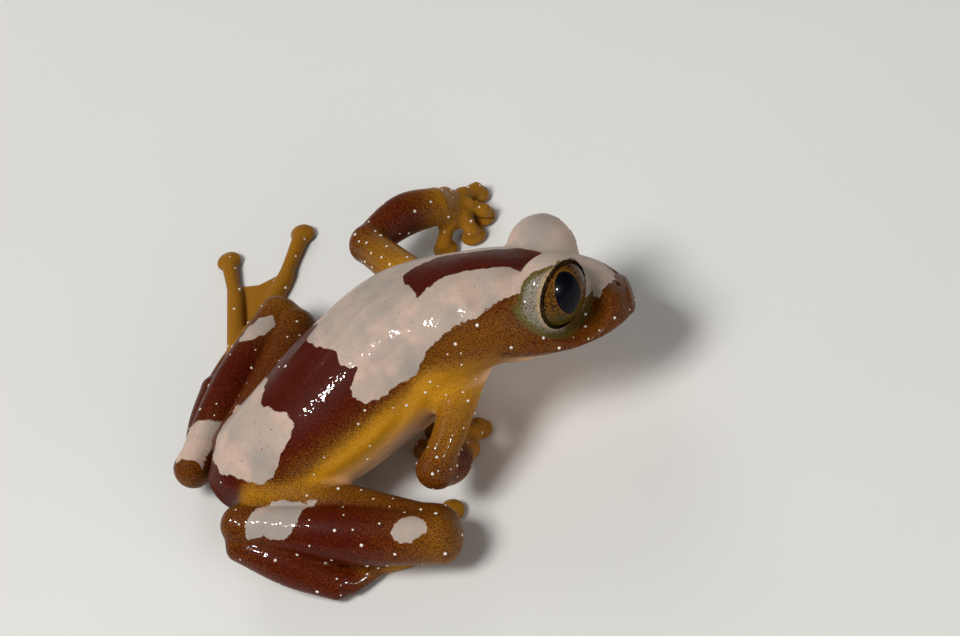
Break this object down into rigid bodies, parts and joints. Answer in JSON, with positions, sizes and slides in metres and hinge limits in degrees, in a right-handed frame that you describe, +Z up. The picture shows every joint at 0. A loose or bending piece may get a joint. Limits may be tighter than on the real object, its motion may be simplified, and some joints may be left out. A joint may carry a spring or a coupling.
{
  "type": "tree frog model",
  "caption": "Small life-size reed frog resting on a flat floor: head, eyes, trunk, folded limbs and disc-tipped digits.",
  "frame": {"origin": "on the floor, under the middle of the outline seen from above", "axes": "+X from the rump towards the head, +Y to the frog's left, +Z up from the floor"},
  "size_m": [0.031, 0.0338, 0.0131],
  "materials": {
    "back_skin": "moist dark brown skin with pale silver blotches",
    "head_skin": "moist brown skin with a pale crown",
    "limb_skin": "moist red-brown skin with pale blotches",
    "amber_skin": "moist amber skin, slightly see-through",
    "eye_surface": "clear wet surface over a golden brown iris"
  },
  "bodies": {
    "root": {"torso": "back_skin", "head": "head_skin", "lower_jaw": "head_skin", "eye_left": "eye_surface", "eye_right": "eye_surface", "upper_arm_left": "limb_skin", "forearm_left": "limb_skin", "thigh_left": "limb_skin", "shank_left": "limb_skin", "tarsus_left": "limb_skin", "hand_left": "amber_skin", "foot_left": "amber_skin", "toe_left_1": "amber_skin", "toe_left_2": "amber_skin", "toe_left_3": "amber_skin", "toe_left_4": "amber_skin", "toe_left_5": "amber_skin", "finger_left_1": "amber_skin", "finger_left_2": "amber_skin", "finger_left_3": "amber_skin", "finger_left_4": "amber_skin", "upper_arm_right": "limb_skin", "forearm_right": "limb_skin", "thigh_right": "limb_skin", "shank_right": "limb_skin", "tarsus_right": "limb_skin", "hand_right": "amber_skin", "foot_right": "amber_skin", "toe_right_1": "amber_skin", "toe_right_2": "amber_skin", "toe_right_3": "amber_skin", "toe_right_4": "amber_skin", "toe_right_5": "amber_skin", "finger_right_1": "amber_skin", "finger_right_2": "amber_skin", "finger_right_3": "amber_skin", "finger_right_4": "amber_skin"}
  },
  "joints": []
}
